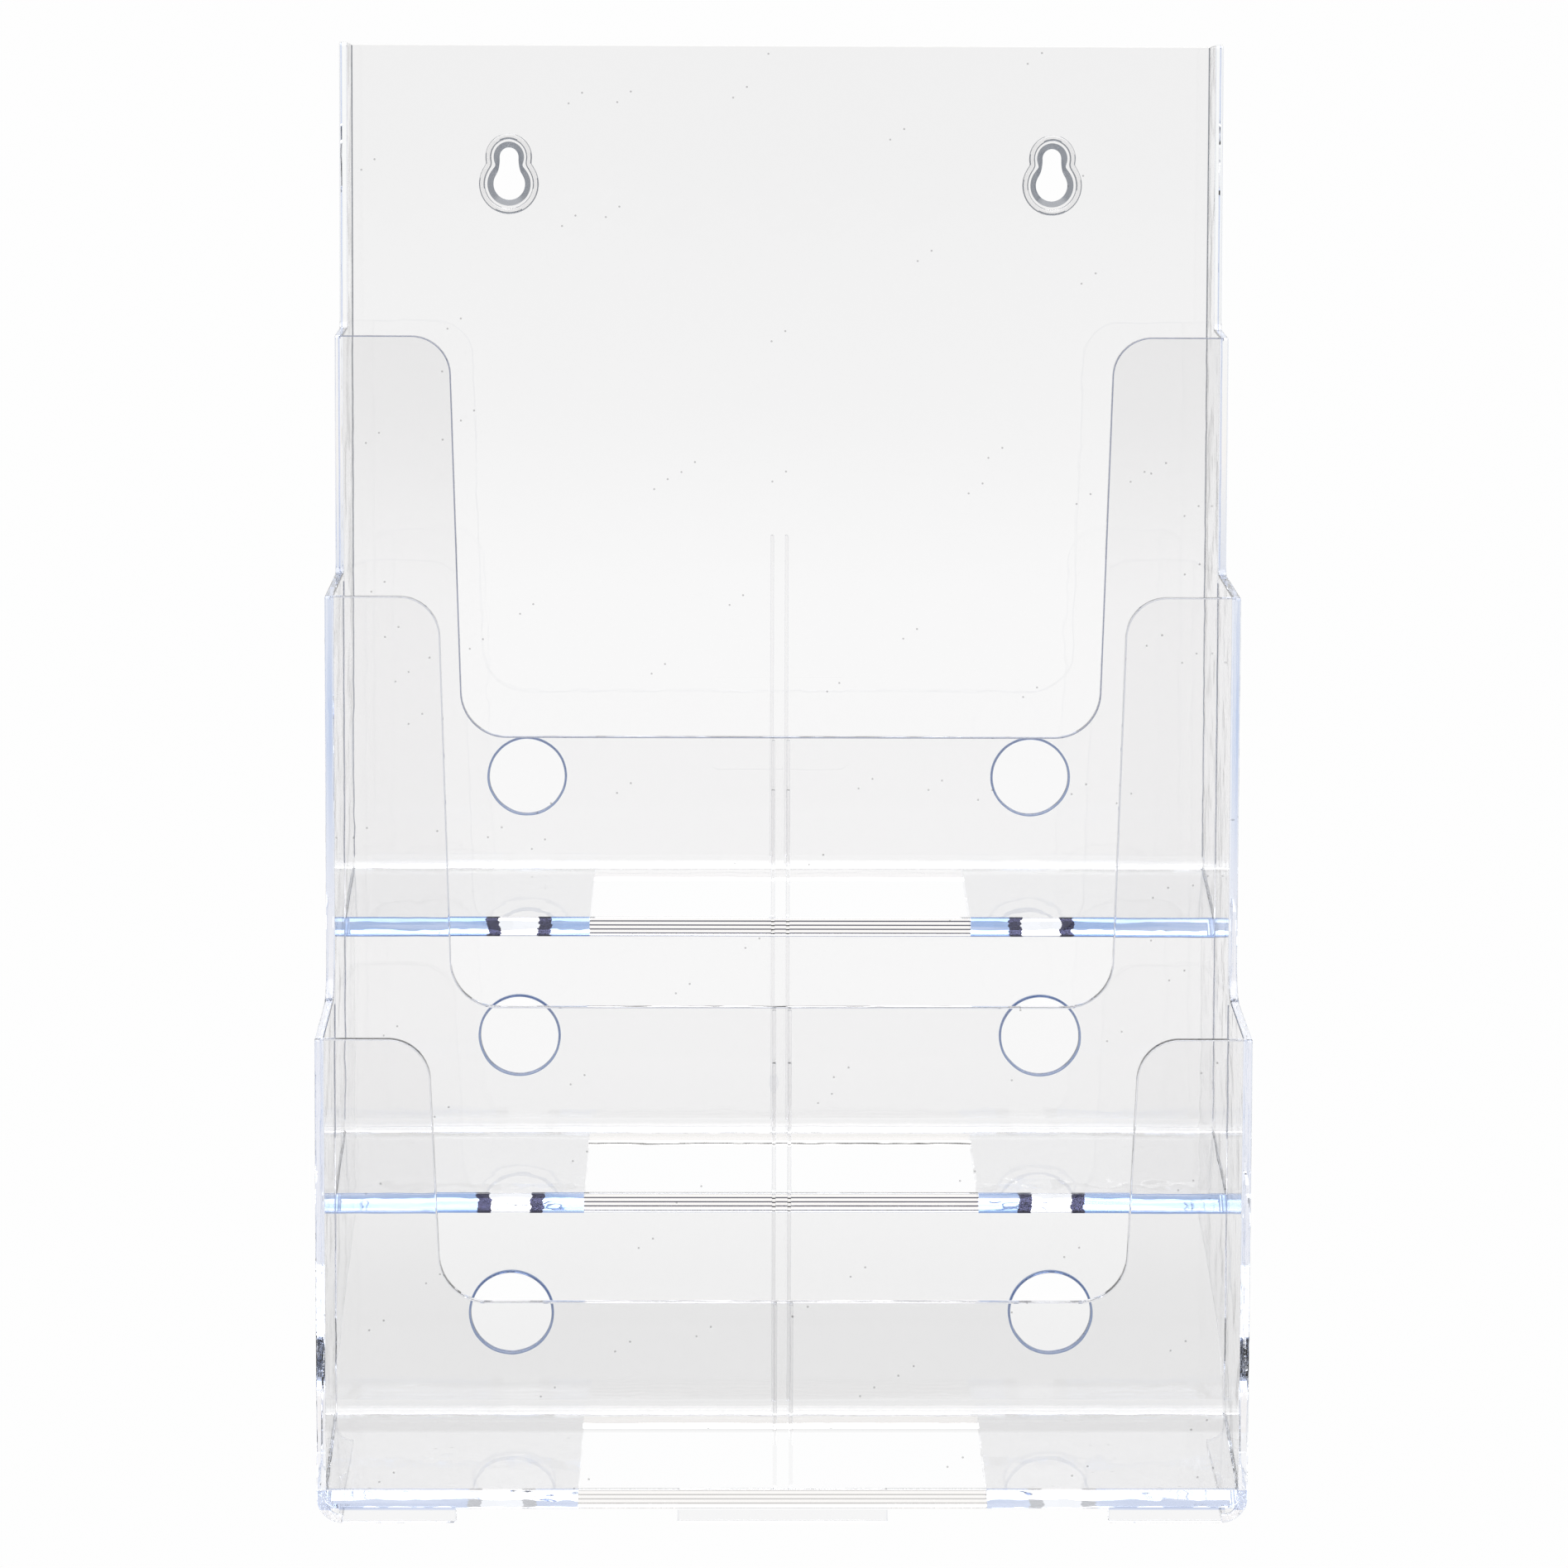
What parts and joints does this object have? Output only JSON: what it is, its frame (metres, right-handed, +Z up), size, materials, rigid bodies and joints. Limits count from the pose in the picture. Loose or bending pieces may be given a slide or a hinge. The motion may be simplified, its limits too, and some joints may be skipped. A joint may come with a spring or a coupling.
{
  "type": "brochure rack",
  "caption": "Clear plastic wall rack with stepped brochure pockets, notched front walls, open floors, keyhole slots and guide ribs for dividers",
  "frame": {"origin": "middle of the footprint, level with the underside of the feet", "axes": "+Z up the back panel, front towards -Y, +X to the right as seen from the front"},
  "size_m": [0.2428, 0.1522, 0.368],
  "materials": {
    "clear_plastic": "clear, glossy, with a faint blue at the cut edges"
  },
  "bodies": {
    "root": {"back_panel": "clear_plastic", "side_panel_left": "clear_plastic", "side_panel_right": "clear_plastic", "front_wall_1": "clear_plastic", "floor_1": "clear_plastic", "front_wall_2": "clear_plastic", "floor_2": "clear_plastic", "front_wall_3": "clear_plastic", "floor_3": "clear_plastic", "rear_rib_1_left": "clear_plastic", "rear_rib_1_right": "clear_plastic", "front_rib_1_left": "clear_plastic", "front_rib_1_right": "clear_plastic", "rear_rib_2_left": "clear_plastic", "rear_rib_2_right": "clear_plastic", "front_rib_2_left": "clear_plastic", "front_rib_2_right": "clear_plastic", "rear_rib_3_left": "clear_plastic", "rear_rib_3_right": "clear_plastic", "front_rib_3_left": "clear_plastic", "front_rib_3_right": "clear_plastic", "keyhole_rim_left": "clear_plastic", "keyhole_rim_right": "clear_plastic", "foot_left": "clear_plastic", "foot_centre": "clear_plastic", "foot_right": "clear_plastic"}
  },
  "joints": []
}
